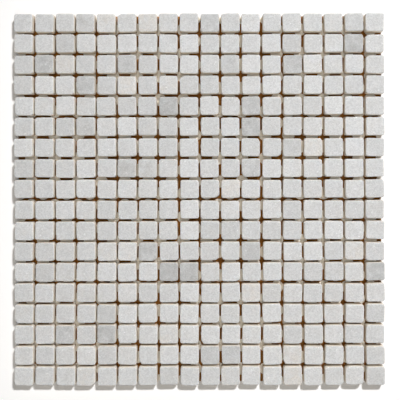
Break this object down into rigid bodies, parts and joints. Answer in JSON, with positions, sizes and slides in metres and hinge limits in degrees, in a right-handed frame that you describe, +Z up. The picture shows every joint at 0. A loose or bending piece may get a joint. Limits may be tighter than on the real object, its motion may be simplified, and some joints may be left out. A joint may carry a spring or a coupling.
{
  "type": "mosaic tile sheet",
  "caption": "Square mosaic sheet of small tumbled white marble stones bonded with open joints to one punched kraft paper backing.",
  "frame": {"origin": "middle of the underside of the paper backing", "axes": "+Z up out of the stones' faces, +X along a row of stones, +Y towards the first row"},
  "size_m": [0.3054, 0.3069, 0.0103],
  "materials": {
    "marble": "tumbled, matt, fine sugary grain",
    "kraft_paper": "matt brown kraft, punched"
  },
  "bodies": {
    "root": {"paper_backing": "kraft_paper", "tile_row_01": "marble", "tile_row_02": "marble", "tile_row_03": "marble", "tile_row_04": "marble", "tile_row_05": "marble", "tile_row_06": "marble", "tile_row_07": "marble", "tile_row_08": "marble", "tile_row_09": "marble", "tile_row_10": "marble", "tile_row_11": "marble", "tile_row_12": "marble", "tile_row_13": "marble", "tile_row_14": "marble", "tile_row_15": "marble", "tile_row_16": "marble", "tile_row_17": "marble", "tile_row_18": "marble"}
  },
  "joints": []
}
